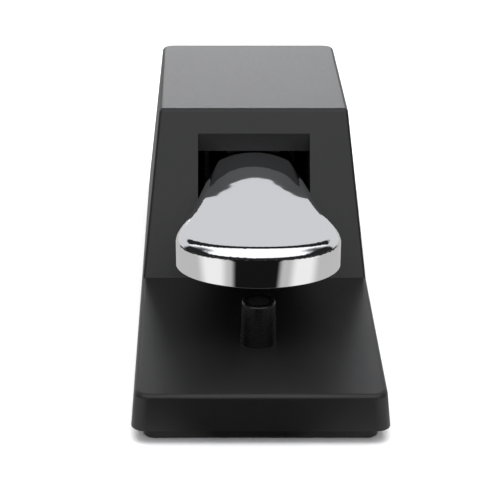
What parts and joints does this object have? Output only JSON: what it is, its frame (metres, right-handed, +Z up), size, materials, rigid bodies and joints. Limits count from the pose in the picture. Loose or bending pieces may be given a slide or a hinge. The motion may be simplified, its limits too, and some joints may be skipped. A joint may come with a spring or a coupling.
{
  "type": "sustain pedal",
  "caption": "Foot pedal with a chromed lever that hinges in a wedge-shaped black housing and comes down onto a bumper post on a flat front deck.",
  "frame": {"origin": "on the floor under the middle of the base's footprint", "axes": "+Z up, -Y towards the foot (the paddle's toe), +Y towards the rear wall with the cable gland, +X to the right"},
  "size_m": [0.09, 0.245, 0.0757],
  "materials": {
    "housing_plastic": "fine-grained satin black moulded plastic",
    "post_plastic": "semi-gloss black moulded plastic",
    "chrome_plate": "bright chrome plate, mirror polished",
    "plate_steel": "black powder-coated steel sheet",
    "bracket_steel": "zinc-plated steel sheet",
    "pin_steel": "ground steel",
    "screw_steel": "zinc-plated screws",
    "spring_steel": "drawn spring wire",
    "mat_rubber": "matte black rubber",
    "bumper_rubber": "soft black rubber",
    "gland_rubber": "black rubber",
    "felt": "dark grey felt",
    "nylon": "natural white nylon",
    "pcb_laminate": "green circuit board",
    "switch_plastic": "black switch case",
    "plunger_plastic": "red switch plunger",
    "knob_plastic": "white slide knob",
    "lead_insulation": "black insulated lead"
  },
  "bodies": {
    "base": {"housing_shell": "housing_plastic", "base_plate": "plate_steel", "rubber_mat": "mat_rubber", "base_screws": "screw_steel", "stop_post": "post_plastic", "stop_bumper": "bumper_rubber", "stop_post_screw": "screw_steel", "pivot_pin": "pin_steel", "pin_clips": "spring_steel", "pivot_bracket": "bracket_steel", "bracket_screws": "screw_steel", "spring_seat": "nylon", "return_spring": "spring_steel", "up_stop_pad": "felt", "switch_carrier": "switch_plastic", "carrier_screws": "screw_steel", "switch_pcb": "pcb_laminate", "pcb_screws": "screw_steel", "microswitch_body": "switch_plastic", "switch_leads": "lead_insulation", "cable_gland": "gland_rubber", "polarity_switch_body": "switch_plastic"},
    "pedal": {"pedal_lever": "chrome_plate", "pivot_bush_left": "nylon", "pivot_bush_right": "nylon", "spring_cup": "nylon", "switch_actuator": "switch_plastic"},
    "plunger": {"switch_plunger": "plunger_plastic"},
    "polarity_knob": {"polarity_slider": "knob_plastic"}
  },
  "joints": [
    {"name": "pedal_hinge", "type": "hinge", "parent": "base", "child": "pedal", "pos_m": [0, 0.0805, 0.044], "axis": [1, 0, 0], "range_deg": [0, 5.3], "stiffness_Nm_per_rad": 11, "springref_deg": -5.16, "deforming": ["return_spring"]},
    {"name": "plunger_slide", "type": "slide", "parent": "base", "child": "plunger", "axis": [0, 0, -1], "range_m": [0, 0.0025]},
    {"name": "polarity_slide", "type": "slide", "parent": "base", "child": "polarity_knob", "axis": [1, 0, 0], "range_m": [0, 0.004]}
  ],
  "couplings": [
    {"joint": "plunger_slide", "follows": "pedal_hinge", "m_per_rad": 0.025}
  ]
}
